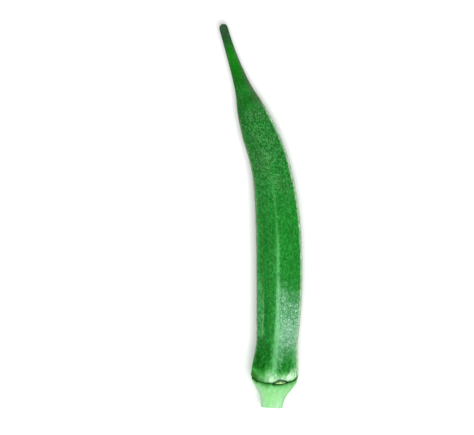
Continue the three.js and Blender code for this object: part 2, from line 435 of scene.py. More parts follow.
def endShrink(station, length):
    # rounds the tip and bevels the cut end
    tipFrom = length - pod["tipRounding"]
    tipShare = np.clip((station - tipFrom) / pod["tipRounding"], 0, 1)
    shrink = (1 - tipShare ** pod["tipPower"]) ** (1 / pod["tipPower"])
    cutShare = np.clip(1 - station / pod["cutBevel"], 0, 1)
    return shrink * (1 - cutShare * pod["cutBevel"] / pod["girth"][0][1])


def withScar(radius, angle, fromScar, flap, upperLine):
    # the scar's groove and lip, and the flap's own groove and bulge
    uneven = pod["scarUneven"]
    wave = np.sin(angle * pod["scarWaves"] + pod["scarWaveStart"])
    grooveDepth = pod["scarDepth"] * (1 - uneven + uneven * wave)
    radius = radius - grooveDepth * hump(fromScar, pod["scarWidth"])
    radius = radius + pod["lipHeight"] * hump(fromScar - pod["lipAlong"], pod["lipWidth"])
    depth = skinDetail["flapGrooveDepth"] * np.minimum(flap * skinDetail["flapGrooveRise"], 1)
    radius = radius - depth * hump(upperLine, skinDetail["flapGrooveWidth"])
    edge = skinDetail["flapEdge"]
    lens = smoothStep(*edge, fromScar) * smoothStep(*edge, -upperLine)
    return radius + skinDetail["flapBulge"] * lens


def withRelief(radius, angle, along, station, length, toRidge, ridged):
    # lengthwise veins, rough ridges, the crease beside each ridge and the cap's streaks
    straight = outFromAxis(angle, radius, along)
    seeds = skinDetail["seeds"]
    onBody = smoothStep(*skinDetail["reliefFrom"], along)
    onBody = onBody * (1 - smoothStep(length - skinDetail["reliefFade"], length, along))
    veins = roughness3d(straight / np.array(skinDetail["veinSize"]), 1, seeds["veins"])
    radius = radius + skinDetail["veinHeight"] * veins * onBody
    rough = roughness3d(straight, skinDetail["ridgeRoughSize"], seeds["ridges"])
    onRidge = hump(toRidge, skinDetail["ridgeRoughWidth"]) * onBody * ridged
    radius = radius + skinDetail["ridgeRoughHeight"] * rough * onRidge
    crease = hump(toRidge - skinDetail["creaseAway"], skinDetail["creaseWidth"])
    radius = radius - skinDetail["creaseDepth"] * (crease * onBody * ridged)
    streaks = roughness3d(straight / np.array(skinDetail["capStreakSize"]), 1, seeds["cap"])
    onCap = 1 - smoothStep(*skinDetail["capStreakEnd"], station)
    return radius + skinDetail["capStreakHeight"] * streaks * onCap


def slantedCut(along, radius, angle, station, fill, atCut):
    # leans the cut end, with a dip in its pith
    cut = math.tan(math.radians(pod["cutTopLean"])) * np.cos(angle)
    cut = cut + math.tan(math.radians(pod["cutSideLean"])) * np.sin(angle)
    along = along + (cut * radius - pod["cutLeft"]) * (1 - smoothStep(0, pod["cutReach"], station))
    return along + skinDetail["pithDip"] * smoothStep(*skinDetail["pithEdge"], fill) * atCut


def shapedSkin(tube, stations, length):
    # moves every vertex of the straight tube out to the pod's real section
    mesh = tube.data
    station, fill, slot = tubeNumbers(mesh, stations)
    side, share, angle, half = sectionOf(slot)
    turn = (np.degrees(angle) + 180) % 360 - 180
    fromScar = station - pod["scarAlong"]
    along = station + scarBend(angle, turn, fromScar)
    flap = flapShare(turn)
    upperLine = fromScar - skinDetail["flapHeight"] * flap
    atCut = station == 0

    radius, toRidge, ridged = skinRadius(side, share, half, along)
    radius = withScar(radius, angle, fromScar, flap, upperLine)
    radius = withRelief(radius, angle, along, station, length, toRidge, ridged)
    radius = radius * endShrink(station, length) * fill
    along = slantedCut(along, radius, angle, station, fill, atCut)
    along = np.where((station > length - skinDetail["tipFlat"]) & (fill < 1), length, along)
    writePoints(mesh, outFromAxis(angle, radius, along))

    # what the colours and hairs read; 9 is clear of the flap and 2 is clear of the cut end
    addPointValue(mesh, "alongPod", along)
    addPointValue(mesh, "fromScar", fromScar)
    addPointValue(mesh, "fromFlap", np.where(flap > 0, upperLine, 9))
    addPointValue(mesh, "crackAndShadeWidth", throughTable(skinDetail["scarPath"], turn, 2))
    addPointValue(mesh, "toRidge", toRidge)
    addPointValue(mesh, "nearestRidge", (side + (share > 0.5)) % len(pod["ridgeAngles"]))
    addPointValue(mesh, "cutFill", np.where(atCut, fill, 2))
    straightPlace = mesh.attributes.new("straightPlace", "FLOAT_VECTOR", "POINT")
    straightPlace.data.foreach_set("vector", readPoints(mesh).ravel().astype(np.float32))
    addPodMap(mesh, share, side, along, length)


def addPodMap(mesh, share, side, along, length):
    # U is the side's number and the share across it, over the sides; V runs along the pod
    sides = len(pod["ridgeAngles"])
    corners = np.empty(len(mesh.loops), dtype=int)
    mesh.loops.foreach_get("vertex_index", corners)
    starts = np.empty(len(mesh.polygons), dtype=int)
    counts = np.empty(len(mesh.polygons), dtype=int)
    mesh.polygons.foreach_get("loop_start", starts)
    mesh.polygons.foreach_get("loop_total", counts)
    around = (side + share)[corners]
    face = np.repeat(np.arange(len(starts)), counts)
    highest = np.maximum.reduceat(around, starts)[face]
    around = np.where((highest > sides - 1) & (around < 1), around + sides, around)
    podMap = mesh.uv_layers.new(name="podMap")
    placed = np.stack([around / sides, along[corners] / length], axis=1)
    podMap.data.foreach_set("uv", placed.ravel())


def bentPod(tube, guide):
    clearSelection()
    tube.select_set(True)
    bpy.context.view_layer.objects.active = tube
    bend = tube.modifiers.new("bend", "CURVE")
    bend.object = guide
    bend.deform_axis = "POS_Y"
    bpy.ops.object.modifier_apply(modifier=bend.name)
    bpy.data.objects.remove(guide)


def laidPod(tube):
    # puts the bent pod in its solid's place, in metres, with the same flats underneath
    low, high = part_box("okra_pod")
    points = readPoints(tube.data) * millimetre
    middle = (points.min(axis=0) + points.max(axis=0)) / 2
    target = (np.array(low) + np.array(high)) / 2
    points[:, :2] += (target - middle)[:2]
    points[:, 2] += high[2] - points[:, 2].max()
    points[:, 2] = np.maximum(points[:, 2], low[2])
    writePoints(tube.data, points)


guide, podLength = axisCurve()
tubeStations = ringStations(podLength)
podSkin = straightTube(tubeStations)
putInOrder(podSkin, tubeStations)
shapedSkin(podSkin, tubeStations, podLength)
bentPod(podSkin, guide)
laidPod(podSkin)
clearSelection()
podSkin.select_set(True)
bpy.context.view_layer.objects.active = podSkin
bpy.ops.object.shade_smooth_by_angle(angle=math.radians(skinDetail["smoothAngle"]))
print("pod skin:", len(podSkin.data.polygons), "faces, length", round(podLength, 2))
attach(podSkin, "root")
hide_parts("okra_pod")


# shader groups

def newGroup(name, takes, gives):
    group = bpy.data.node_groups.new(name, "ShaderNodeTree")
    for label, kind, value in takes:
        socket = group.interface.new_socket(label, in_out="INPUT", socket_type=kind)
        if value is not None:
            socket.default_value = value
    for label, kind in gives:
        group.interface.new_socket(label, in_out="OUTPUT", socket_type=kind)
    start = group.nodes.new("NodeGroupInput")
    end = group.nodes.new("NodeGroupOutput")
    return group, start, end


def mathNode(tree, operation, *values):
    node = tree.nodes.new("ShaderNodeMath")
    node.operation = operation
    for socket, value in zip(node.inputs, values):
        if isinstance(value, (int, float)):
            socket.default_value = value
        else:
            tree.links.new(value, socket)
    return node.outputs[0]


def product(tree, value, *others):
    for other in others:
        value = mathNode(tree, "MULTIPLY", value, other)
    return value


def rangeNode(tree, value, low, high, toLow=0, toHigh=1):
    node = tree.nodes.new("ShaderNodeMapRange")
    node.interpolation_type = "SMOOTHSTEP"
    labels = ("Value", "From Min", "From Max", "To Min", "To Max")
    for label, given in zip(labels, (value, low, high, toLow, toHigh)):
        if isinstance(given, (int, float)):
            node.inputs[label].default_value = given
        else:
            tree.links.new(given, node.inputs[label])
    return node.outputs["Result"]


def bandGroup():
    # 1 between two places and 0 outside them, with soft edges
    group, start, end = newGroup(
        "softBand",
        [("Value", "NodeSocketFloat", 0), ("From", "NodeSocketFloat", 0),
         ("To", "NodeSocketFloat", 1), ("Soft", "NodeSocketFloat", 0.1)],
        [("Mask", "NodeSocketFloat")],
    )
    value, low, high, soft = start.outputs[:4]
    before = mathNode(group, "SUBTRACT", low, soft)
    after = mathNode(group, "ADD", high, soft)
    rise = rangeNode(group, value, before, low)
    fall = rangeNode(group, value, high, after, 1, 0)
    group.links.new(product(group, rise, fall), end.inputs["Mask"])
    return group


def patchGroup(band):
    # one side's patch, from share to share across it and from place to place along the pod
    group, start, end = newGroup(
        "sidePatch",
        [("Side", "NodeSocketFloat", 0), ("Share", "NodeSocketFloat", 0),
         ("Along", "NodeSocketFloat", 0), ("Which Side", "NodeSocketFloat", 0),
         ("Share From", "NodeSocketFloat", 0), ("Share To", "NodeSocketFloat", 1),
         ("Share Soft", "NodeSocketFloat", 0.05), ("Along From", "NodeSocketFloat", 0),
         ("Along To", "NodeSocketFloat", 100), ("Along Soft", "NodeSocketFloat", 8),
         ("Strength", "NodeSocketFloat", 1)],
        [("Mask", "NodeSocketFloat")],
    )
    given = {socket.name: socket for socket in start.outputs if socket.name}
    across = group.nodes.new("ShaderNodeGroup")
    across.node_tree = band
    lengthwise = group.nodes.new("ShaderNodeGroup")
    lengthwise.node_tree = band
    links = (
        ("Share", across, "Value"), ("Share From", across, "From"), ("Share To", across, "To"),
        ("Share Soft", across, "Soft"), ("Along", lengthwise, "Value"),
        ("Along From", lengthwise, "From"), ("Along To", lengthwise, "To"),
        ("Along Soft", lengthwise, "Soft"),
    )
    for source, node, target in links:
        group.links.new(given[source], node.inputs[target])
    onSide = mathNode(group, "COMPARE", given["Side"], given["Which Side"], 0.5)
    mask = product(group, across.outputs[0], lengthwise.outputs[0], onSide, given["Strength"])
    group.links.new(mask, end.inputs["Mask"])
    return group


# how the speckle is cut out of the noise, and the round points out of their cells
speckleCut = {
    "grainDetail": 2,
    "grainFrom": 0.3,
    "grainTo": 0.7,
    "pointCore": 0.15,  # out to here a point is full, as a share of its cell
    "pointEdge": 0.75,
    "pointLeast": -0.2,  # below 0 gives every point some strength
}


def grainGroup():
    # fine speckle of a given size, stretched along the pod as asked
    group, start, end = newGroup(
        "skinGrain",
        [("Place", "NodeSocketVector", None), ("Size", "NodeSocketFloat", 0.5),
         ("Stretch", "NodeSocketFloat", 1), ("Shift", "NodeSocketFloat", 0)],
        [("Grain", "NodeSocketFloat")],
    )
    apart = group.nodes.new("ShaderNodeSeparateXYZ")
    group.links.new(start.outputs["Place"], apart.inputs[0])
    shifted = mathNode(group, "ADD", apart.outputs["X"], start.outputs["Shift"])
    lengthwise = mathNode(group, "DIVIDE", apart.outputs["Y"], start.outputs["Stretch"])
    together = group.nodes.new("ShaderNodeCombineXYZ")
    group.links.new(shifted, together.inputs["X"])
    group.links.new(lengthwise, together.inputs["Y"])
    group.links.new(apart.outputs["Z"], together.inputs["Z"])
    cloud = group.nodes.new("ShaderNodeTexNoise")
    cloud.inputs["Detail"].default_value = speckleCut["grainDetail"]
    group.links.new(together.outputs[0], cloud.inputs["Vector"])
    group.links.new(mathNode(group, "DIVIDE", 1, start.outputs["Size"]), cloud.inputs["Scale"])
    cut = rangeNode(group, cloud.outputs["Fac"], speckleCut["grainFrom"], speckleCut["grainTo"])
    group.links.new(cut, end.inputs["Grain"])
    return group


def pointsGroup():
    # small round points, each of its own strength
    group, start, end = newGroup(
        "skinPoints",
        [("Place", "NodeSocketVector", None), ("Size", "NodeSocketFloat", 0.5),
         ("Shift", "NodeSocketFloat", 0)],
        [("Points", "NodeSocketFloat")],
    )
    moved = group.nodes.new("ShaderNodeVectorMath")
    moved.operation = "ADD"
    group.links.new(start.outputs["Place"], moved.inputs[0])
    group.links.new(start.outputs["Shift"], moved.inputs[1])
    cells = group.nodes.new("ShaderNodeTexVoronoi")
    group.links.new(moved.outputs[0], cells.inputs["Vector"])
    group.links.new(mathNode(group, "DIVIDE", 1, start.outputs["Size"]), cells.inputs["Scale"])
    core = speckleCut["pointCore"]
    near = rangeNode(group, cells.outputs["Distance"], core, speckleCut["pointEdge"], 1, 0)
    apart = group.nodes.new("ShaderNodeSeparateColor")
    group.links.new(cells.outputs["Color"], apart.inputs[0])
    strength = rangeNode(group, apart.outputs[0], speckleCut["pointLeast"], 1)
    group.links.new(product(group, near, strength), end.inputs["Points"])
    return group


softBand = bandGroup()
sidePatch = patchGroup(softBand)
skinGrain = grainGroup()
skinPoints = pointsGroup()


# how the skin is coloured: colours from 0 to 255, lengths in millimetres from the cut stem
skinLook = {
    # the run of colour from the pale cap to the grey tip: distance, colour
    "alongPod": [
        (0, (168, 230, 168)), (3, (160, 228, 158)), (6, (158, 228, 154)), (9, (152, 226, 150)),
        # painted shade darkens the run on both sides of the scar ring, from 10.2 to 12.7 mm
        (10.2, (138, 216, 138)), (11, (112, 198, 112)), (11.5, (72, 158, 72)), (12, (42, 116, 40)),
        (12.7, (78, 152, 74)), (13.8, (108, 188, 106)), (15, (80, 174, 80)), (16, (40, 144, 42)),
        (17.2, (18, 120, 24)), (20, (8, 110, 16)), (30, (12, 120, 26)), (50, (14, 128, 28)),
        (65, (12, 130, 26)), (85, (16, 122, 28)), (97, (18, 115, 30)), (108, (18, 106, 26)),
        (115, (10, 94, 16)), (121, (4, 96, 10)), (127, (4, 106, 6)), (132, (4, 118, 4)),
        (136, (4, 124, 4)), (139, (10, 108, 12)), (141.5, (28, 84, 30)), (145, (38, 74, 42)),
        (148, (50, 82, 52)),
    ],
    # noise that moves a place about: size, stretch along the pod, shift, reach
    "drifts": {
        "level": (2.2, 1.5, 7, 0.3),
        "patchShare": (1.1, 3, 3, 0.03),
        "rimLevel": (0.9, 1.2, 37, 0.5),
        "rimShare": (1.4, 2, 39, 0.05),
        "bloomAndHighlightShare": (1.6, 1.2, 13, 0.07),
        "bloomAndHighlightAlong": (1.2, 1.2, 17, 1.8),
        "toRidge": (0.7, 1.4, 79, 0.12),
    },
    # stretches of the pod: from, to, soft
    "bands": {
        "body": (19, 122, 4),
        "belowNeck": (22, 100, 16),
        "upper": (88, 112, 12),
        "downy": (27, 112, 8),
    },
    # patches and stripes: side, share from, to, soft, along from, to, soft, strength, colour
    "patches": [
        (1, 0.0, 0.1, 0.06, 30, 84, 14, 0.7, (54, 142, 80)),  # grey-green by the left ridge
        (1, 0.25, 0.29, 0.035, 48, 76, 10, 0.85, (74, 108, 38)),  # brown line
        (1, 0.26, 0.3, 0.05, 26, 40, 7, 0.8, (128, 204, 142)),  # pale line below it
        (1, 0.35, 0.37, 0.02, 26, 36, 6, 0.5, (96, 168, 104)),
        (1, 0.08, 0.2, 0.05, 27, 48, 6, 0.8, (98, 184, 110)),
        (1, 0.25, 0.32, 0.03, 21, 27, 3, 0.5, (76, 112, 40)),
        (1, 0.38, 0.5, 0.05, 22, 74, 12, 0.6, (4, 104, 30)),  # dark bluish stripe
        (1, 0.56, 0.7, 0.06, 48, 78, 10, 0.3, (54, 128, 52)),  # brownish green
        (1, 0.66, 0.76, 0.06, 22, 44, 8, 0.5, (52, 150, 64)),
        (1, 0.72, 0.8, 0.04, 18, 72, 12, 0.3, (20, 120, 34)),
        (1, 0.42, 0.5, 0.04, 26, 44, 8, 0.5, (0, 108, 20)),
        (1, 0.93, 1.0, 0.15, 24, 58, 10, 0.6, (86, 188, 100)),  # pale shoulder of the middle ridge
        (1, 0.86, 1.0, 0.12, 18, 26, 6, 0.6, (106, 200, 116)),
        (1, 0.0, 0.6, 0.3, 18, 25, 4, 1.0, (0, 70, 0)),  # painted shade on the base of the left side
        (1, 0.7, 1.0, 0.2, 15, 17, 3, 0.5, (62, 160, 66)),
        (2, 0.35, 0.9, 0.14, 17, 21, 3, 0.5, (24, 122, 36)),
        (2, 0.56, 0.66, 0.06, 54, 74, 8, 0.3, (58, 124, 44)),
        (2, 0.74, 0.88, 0.05, 46, 80, 8, 0.3, (22, 142, 36)),
        (2, 0.4, 1.0, 0.2, 46, 76, 10, 0.5, (2, 130, 18)),
        (2, 0.2, 0.7, 0.2, 98, 103, 4, 0.5, (40, 92, 44)),  # dull patches under and on the neck
        (2, 0.45, 1.0, 0.2, 114, 124, 4, 0.5, (60, 98, 56)),
        (2, 0.84, 1.0, 0.1, 18, 26, 6, 0.7, (118, 190, 122)),  # pale strip by the right ridge
        (0, 0.3, 0.38, 0.03, 30, 80, 10, 0.6, (84, 120, 46)),
        (0, 0.5, 0.95, 0.12, 60, 90, 10, 0.35, (80, 168, 100)),
        (3, 0.2, 0.28, 0.03, 30, 84, 10, 0.6, (90, 122, 50)),
        (3, 0.1, 0.8, 0.12, 34, 58, 8, 0.4, (88, 172, 108)),
        (4, 0.4, 0.6, 0.1, 25, 95, 10, 0.4, (60, 148, 70)),
    ],
    # the pale rim over the scar, painted shade round the scar ring and on the cap under it, and
    # the cap's own tints, in the same order
    "rim": [
        (0, 0.1, 0.9, 0.2, 12.9, 14.4, 2.8, 0.7, (150, 222, 156)),
        (1, 0.0, 0.26, 0.2, 12.2, 13.9, 1.6, 0.85, (26, 100, 24)),  # painted shade in the left corner over the scar
        (1, 0.98, 1.0, 0.4, 12.9, 14.2, 3.2, 0.95, (204, 250, 204)),
        (2, 0.0, 0.12, 0.1, 12.9, 14.1, 2.6, 0.88, (184, 234, 188)),
        (2, 0.22, 0.3, 0.1, 12.9, 13.9, 2.0, 0.85, (180, 230, 184)),
        (2, 0.35, 0.5, 0.1, 12.9, 13.5, 2.8, 0.88, (188, 236, 192)),
        (2, 0.56, 0.7, 0.1, 12.9, 14.2, 2.0, 0.95, (212, 252, 212)),
        (2, 0.74, 1.0, 0.1, 12.9, 14.4, 3.0, 0.95, (194, 244, 194)),
        (2, 0.96, 1.0, 0.05, 12.4, 16, 1.6, 0.7, (90, 150, 84)),  # the scar's dark right end
        (3, 0.0, 0.05, 0.05, 12.4, 16, 1.6, 0.7, (90, 150, 84)),
        (3, 0.1, 0.9, 0.2, 12.9, 14.8, 3.0, 0.8, (170, 232, 172)),
        (4, 0.1, 0.9, 0.2, 12.9, 14.4, 2.8, 0.7, (150, 222, 156)),
        (2, 0.04, 0.34, 0.1, 11.8, 12.2, 0.3, 0.7, (36, 100, 40)),  # shade under the flap
        # painted shade on the cap just under the scar ring
        (2, 0.4, 1.0, 0.2, 11.2, 12.4, 0.6, 0.5, (84, 150, 80)),
        (1, 0.0, 0.34, 0.2, 2, 9, 2, 0.45, (190, 240, 190)),
        (1, 0.72, 0.92, 0.1, 0, 7, 3, 0.4, (140, 228, 128)),
        (2, 0.4, 0.7, 0.14, 0, 6, 4, 0.25, (206, 250, 206)),
    ],
    "rimAbove": 0.5,  # rim patches that start farther above the scar than this don't cross it
    "rimFade": (0.3, 1.2),
    # lengthwise streaks: size, stretch, shift, strength, colour
    "streaks": (0.8, 22, 1, 0.18, (10, 98, 24)),
    # clouding: band, size, stretch, shift, where the noise is cut if it is, strength, colour
    "clouds": [
        ("body", 3.0, 2, 5, None, 0.3, (40, 152, 52)),
        ("body", 2.3, 2.5, 71, None, 0.3, (8, 104, 22)),
        ("belowNeck", 0.9, 1.3, 83, (0.35, 1), 0.38, (56, 172, 68)),
        ("belowNeck", 1.0, 1.3, 91, (0.35, 1), 0.55, (2, 90, 18)),
        ("upper", 5.5, 1.3, 61, (0.4, 0.9), 0.36, (66, 104, 58)),
        ("upper", 3.6, 1.5, 67, (0.5, 1), 0.16, (70, 168, 82)),
    ],
    # bloom, partly a pale bloom on the skin and partly a painted highlight on the side facing the
    # light, in the same order as the patches
    "bloomAndHighlight": [
        (2, 0.04, 0.3, 0.12, 38, 40, 13, 0.6, (110, 190, 130)),
        (2, 0.2, 0.96, 0.14, 36, 37, 13, 0.56, (114, 188, 138)),
        (2, 0.04, 0.26, 0.1, 20, 36, 6, 0.35, (108, 188, 122)),
        (2, 0.06, 0.98, 0.1, 28, 33, 12, 0.45, (120, 190, 142)),
        (2, 0.12, 0.94, 0.14, 29, 32, 6, 0.42, (138, 198, 158)),
        (2, 0.2, 0.9, 0.2, 28, 31, 5, 0.3, (170, 214, 190)),
    ],
    "bloomAndHighlightThinning": (0.8, 19, 0.66),  # size and shift of the points, and how much is left
    "bloomAndHighlightPower": 1.6,  # how fast the points of the bloom and its painted highlight thin out towards its edges
    # fine points: size, shift, strength, colour
    "bloomAndHighlightPoints": [(0.6, 31, 3.0, (204, 242, 218)), (0.6, 43, 3.6, (12, 100, 50))],
    "downPoints": [(0.55, 11, 1, (98, 182, 108)), (0.7, 23, 1.45, (4, 74, 20))],
    "downLeast": 0.28,
    "downMoreAbove": 0.38,
    # lines on the ridges: number, from, to, soft, width, strength, colour
    "ridgeLines": [
        (0, 18, 112, 8, 0.6, 0.6, (110, 176, 120)),
        (1, 18, 60, 10, 0.5, 0.4, (60, 140, 80)),
        (1, 64, 108, 6, 0.55, 0.7, (126, 134, 110)),
        (2, 60, 84, 10, 0.7, 0.4, (60, 164, 68)),
        (2, 46, 60, 14, 0.9, 0.75, (90, 192, 104)),
        (2, 32, 46, 6, 1.0, 0.75, (130, 212, 144)),
        (2, 17, 32, 5, 1.35, 0.62, (126, 212, 138)),
        (3, 14, 112, 5, 0.72, 0.9, (190, 214, 188)),
        (1, 113, 136, 6, 0.8, 0.6, (34, 74, 38)),  # painted shade along the left edge of the neck, then a grey line on its right edge
        (3, 117, 136, 4, 1.1, 0.75, (92, 90, 84)),
        (4, 18, 112, 8, 0.6, 0.6, (110, 176, 120)),
    ],
    "lineCore": 0.3,  # a line is full to this share of its width, and ends at the next
    "lineEnd": 1.1,
    "lineBreaks": (0.6, 2.5, 29),
    "lineBreakCut": (0, 0.8, 0.4, 1.1),  # noise from, to, and how much line is left at each
}

# the scar ring, the flap beside it and the cut end
scarLook = {
    "flap": (180, 226, 148),
    "flapStrength": 0.8,
    "flapFrom": (0.1, 0.4),  # soft edges above the scar and below the flap's own line
    "flapTo": (-0.4, -0.1),
    # the dark line along the scar and the flap is partly the scar's crack and partly painted shade
    # in its groove
    "crackAndShade": (4, 38, 2),
    "crackAndShadeCore": 0.05,
    "crackAndShadeEdge": (0.9, 1, 53),  # size, stretch and shift of the noise that frays its edges
    "crackAndShadeEdgeCut": (0, 1, 0.55, 1.25),
    "crackShade": (2.1, 1, 59),
    "crackShadeCut": (0, 1, 0.78, 1),
    "flapCrackAndShadeLower": 0.16,
    "rind": (132, 206, 138),
    "pith": (206, 244, 200),
    "pithEdge": (0.62, 0.86),
    "cutEdge": (1.0, 1.05),
    "fibre": (168, 214, 150),
    "fibreSize": 0.5,
    "fibreShift": 97,
    "fibreStrength": 0.8,
}

# the velvety finish
velvet = {
    "roughnessNoise": (0.8, 2, 31),
    "roughness": (0.55, 0.72),
    "specular": 0.05,
    "sheen": 0.008,
    "sheenRoughness": 0.35,
    "sheenTint": (190, 220, 190),
    "bumpStrength": 0.5,
    "bumpDepth": 0.00014,  # metres
    "bumpGrain": (0.36, 1, 41),
    "bumpFibres": (0.5, 9, 47),
    "bumpFibreShare": 0.6,
}


def colourMix(tree, factor, first, second, kind="MIX"):
    node = tree.nodes.new("ShaderNodeMix")
    node.data_type = "RGBA"
    node.blend_type = kind
    sockets = (node.inputs[0], node.inputs[6], node.inputs[7])  # factor and the two colours
    for socket, given in zip(sockets, (factor, first, second)):
        if isinstance(given, (int, float, tuple)):
            socket.default_value = given
        else:
            tree.links.new(given, socket)
    return node.outputs[2]


def attributeNode(tree, name, output="Fac"):
    node = tree.nodes.new("ShaderNodeAttribute")
    node.attribute_name = name
    return node.outputs[output]


def groupNode(tree, group, **values):
    node = tree.nodes.new("ShaderNodeGroup")
    node.node_tree = group
    for label, given in values.items():
        socket = node.inputs[label.replace("_", " ")]
        if isinstance(given, (int, float)):
            socket.default_value = given
        else:
            tree.links.new(given, socket)
    return node.outputs[0]


def patchMask(tree, side, share, along, patch):
    which, shareFrom, shareTo, shareSoft, start, end, soft, strength = patch[:8]
    return groupNode(
        tree, sidePatch, Side=side, Share=share, Along=along, Which_Side=which,
        Share_From=shareFrom, Share_To=shareTo, Share_Soft=shareSoft, Along_From=start,
        Along_To=end, Along_Soft=soft, Strength=strength,
    )


def newMaterial(name):
    material = bpy.data.materials.new(name)
    material.use_nodes = True
    return material, material.node_tree, material.node_tree.nodes["Principled BSDF"]


def placesOnPod(tree):
    # the sockets that say where on the pod a point of the skin is
    podMap = tree.nodes.new("ShaderNodeUVMap")
    podMap.uv_map = "podMap"
    apart = tree.nodes.new("ShaderNodeSeparateXYZ")
    tree.links.new(podMap.outputs[0], apart.inputs[0])
    around = mathNode(tree, "MULTIPLY", apart.outputs["X"], len(pod["ridgeAngles"]))
    side = mathNode(tree, "FLOOR", around)
    fromScar = attributeNode(tree, "fromScar")
    return {
        "place": attributeNode(tree, "straightPlace", "Vector"),
        "along": attributeNode(tree, "alongPod"),
        "side": side,
        "share": mathNode(tree, "SUBTRACT", around, side),
        "toRidge": attributeNode(tree, "toRidge"),
        "fromScar": fromScar,
        "level": mathNode(tree, "ADD", fromScar, pod["scarAlong"]),
    }


def grain(tree, at, size, stretch, shift):
    return groupNode(tree, skinGrain, Place=at["place"], Size=size, Stretch=stretch, Shift=shift)


def dots(tree, at, size, shift):
    return groupNode(tree, skinPoints, Place=at["place"], Size=size, Shift=shift)


def drifting(tree, at, place, drift):
    # one of the places, moved to either side by noise
    size, stretch, shift, reach = skinLook["drifts"][drift]
    offset = mathNode(tree, "SUBTRACT", grain(tree, at, size, stretch, shift), 0.5)
    return mathNode(tree, "ADD", at[place], product(tree, offset, 2 * reach))


def band(tree, at, start, end, soft):
    return groupNode(tree, softBand, Value=at["along"], From=start, To=end, Soft=soft)


def colourRun(tree, at):
    ramp = tree.nodes.new("ShaderNodeValToRGB")
    stops = skinLook["alongPod"]
    longest = stops[-1][0]
    level = drifting(tree, at, "level", "level")
    tree.links.new(mathNode(tree, "DIVIDE", level, longest), ramp.inputs[0])
    elements = ramp.color_ramp.elements
    while len(elements) < len(stops):
        elements.new(0.5)
    for element, (distance, colour) in zip(elements, stops):
        element.position = distance / longest
        element.color = paint(*colour)
    return ramp.outputs[0]


def withPatches(tree, at, colour):
    share = drifting(tree, at, "share", "patchShare")
    for patch in skinLook["patches"]:
        mask = patchMask(tree, at["side"], share, at["along"], patch)
        colour = colourMix(tree, mask, colour, paint(*patch[-1]))
    return colour


def withRim(tree, at, colour):
    level = drifting(tree, at, "level", "rimLevel")
    share = drifting(tree, at, "share", "rimShare")
    aboveScar = rangeNode(tree, at["fromScar"], *skinLook["rimFade"])
    for patch in skinLook["rim"]:
        mask = patchMask(tree, at["side"], share, level, patch)
        if patch[4] > pod["scarAlong"] + skinLook["rimAbove"]:
            mask = product(tree, mask, aboveScar)
        colour = colourMix(tree, mask, colour, paint(*patch[-1]))
    return colour


def withClouds(tree, at, colour, bands):
    size, stretch, shift, strength, tint = skinLook["streaks"]
    streak = product(tree, grain(tree, at, size, stretch, shift), strength)
    colour = colourMix(tree, streak, colour, paint(*tint), "MULTIPLY")
    for where, size, stretch, shift, cut, strength, tint in skinLook["clouds"]:
        cloud = grain(tree, at, size, stretch, shift)
        if cut:
            cloud = rangeNode(tree, cloud, *cut)
        mask = product(tree, cloud, bands[where], strength)
        colour = colourMix(tree, mask, colour, paint(*tint))
    return colour


def withBloomAndHighlight(tree, at, colour):
    # the bloom, partly pale bloom and partly painted highlight; also gives how thick it is
    share = drifting(tree, at, "share", "bloomAndHighlightShare")
    along = drifting(tree, at, "along", "bloomAndHighlightAlong")
    size, shift, left = skinLook["bloomAndHighlightThinning"]
    thinning = rangeNode(tree, dots(tree, at, size, shift), 0, 1, left, 1)
    thick = None
    for patch in skinLook["bloomAndHighlight"]:
        mask = product(tree, patchMask(tree, at["side"], share, along, patch), thinning)
        colour = colourMix(tree, mask, colour, paint(*patch[-1]))
        thick = mathNode(tree, "MAXIMUM", thick, mask) if thick else mask
    return colour, thick


def withPoints(tree, at, colour, density, kinds):
    for size, shift, strength, tint in kinds:
        mask = product(tree, dots(tree, at, size, shift), product(tree, density, strength))
        colour = colourMix(tree, mask, colour, paint(*tint))
    return colour


def withRidgeLines(tree, at, colour):
    nearest = attributeNode(tree, "nearestRidge")
    left = rangeNode(tree, grain(tree, at, *skinLook["lineBreaks"]), *skinLook["lineBreakCut"])
    edge = drifting(tree, at, "toRidge", "toRidge")
    for number, start, end, soft, width, strength, tint in skinLook["ridgeLines"]:
        core, rim = width * skinLook["lineCore"], width * skinLook["lineEnd"]
        line = rangeNode(tree, edge, core, rim, 1, 0)
        mine = mathNode(tree, "COMPARE", nearest, number, 0.5)
        mask = product(tree, line, mine, band(tree, at, start, end, soft), left, strength)
        colour = colourMix(tree, mask, colour, paint(*tint))
    return colour


def withScarColours(tree, at, colour):
    # the pale flap, then the dark line along the scar and over the flap, partly the scar's crack
    # and partly painted shade in its groove
    fromFlap = attributeNode(tree, "fromFlap")
    overScar = rangeNode(tree, at["fromScar"], *scarLook["flapFrom"])
    underFlap = rangeNode(tree, fromFlap, *scarLook["flapTo"], 1, 0)
    flap = product(tree, overScar, underFlap, scarLook["flapStrength"])
    colour = colourMix(tree, flap, colour, paint(*scarLook["flap"]))

    frayed = rangeNode(tree, grain(tree, at, *scarLook["crackAndShadeEdge"]), *scarLook["crackAndShadeEdgeCut"])
    lowered = mathNode(tree, "ADD", fromFlap, scarLook["flapCrackAndShadeLower"])
    width = product(tree, attributeNode(tree, "crackAndShadeWidth"), frayed)
    crackAndShadeLines = [
        rangeNode(tree, mathNode(tree, "ABSOLUTE", away), scarLook["crackAndShadeCore"], reach, 1, 0)
        for away, reach in ((at["fromScar"], width), (lowered, frayed))
    ]
    shade = rangeNode(tree, grain(tree, at, *scarLook["crackShade"]), *scarLook["crackShadeCut"])
    crackAndShade = product(tree, mathNode(tree, "MAXIMUM", *crackAndShadeLines), shade)
    return colourMix(tree, crackAndShade, colour, paint(*scarLook["crackAndShade"]))


